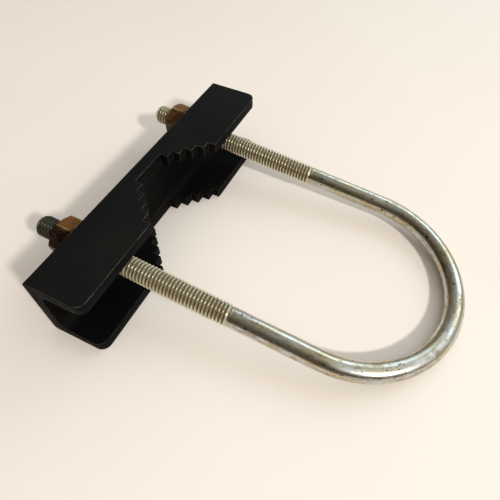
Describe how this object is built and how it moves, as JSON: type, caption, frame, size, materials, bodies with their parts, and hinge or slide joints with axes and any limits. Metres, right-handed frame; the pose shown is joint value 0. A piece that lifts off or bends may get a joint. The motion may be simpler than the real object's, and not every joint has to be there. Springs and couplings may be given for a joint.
{
  "type": "u-bolt mast clamp",
  "caption": "U-bolt clamp with a toothed channel saddle: grips a round mast, pole or pipe between the bow and the saddle's notch as the nuts are tightened.",
  "frame": {"origin": "on the table, under the middle of the clamp's bounding box", "axes": "+X square to the web, toward the bow, +Y from the near leg to the far leg, +Z across the flanges, up as the clamp lies on a table"},
  "size_m": [0.1114, 0.086, 0.022],
  "materials": {
    "bright_zinc": "bright zinc plating on drawn steel rod",
    "black_paint": "satin black paint on pressed steel",
    "washer_zinc": "dull zinc plating",
    "golden_zinc": "yellow zinc plating with rust stains"
  },
  "bodies": {
    "saddle_and_washers": {"saddle": "black_paint", "flat_washer_near": "washer_zinc", "spring_washer_near": "washer_zinc", "flat_washer_far": "washer_zinc", "spring_washer_far": "washer_zinc"},
    "bolt": {"u_bolt": "bright_zinc"},
    "near_nut": {"hex_nut_near": "golden_zinc"},
    "far_nut": {"hex_nut_far": "golden_zinc"}
  },
  "joints": [
    {"name": "near_nut_turn", "type": "hinge", "parent": "saddle_and_washers", "child": "near_nut", "pos_m": [-0.0464, -0.02365, 0.01176], "axis": [0.9958, 0, -0.0912], "range_deg": [-2160, 15120]},
    {"name": "far_nut_turn", "type": "hinge", "parent": "saddle_and_washers", "child": "far_nut", "pos_m": [-0.0464, 0.03165, 0.01176], "axis": [0.9958, 0, -0.0912], "range_deg": [-2160, 15120]},
    {"name": "bolt_draw", "type": "slide", "parent": "saddle_and_washers", "child": "bolt", "axis": [-0.9958, 0, 0.0912], "range_m": [-0.006, 0.042]}
  ],
  "couplings": [
    {"joint": "near_nut_turn", "follows": "bolt_draw", "rad_per_m": 6283.2},
    {"joint": "far_nut_turn", "follows": "bolt_draw", "rad_per_m": 6283.2}
  ]
}
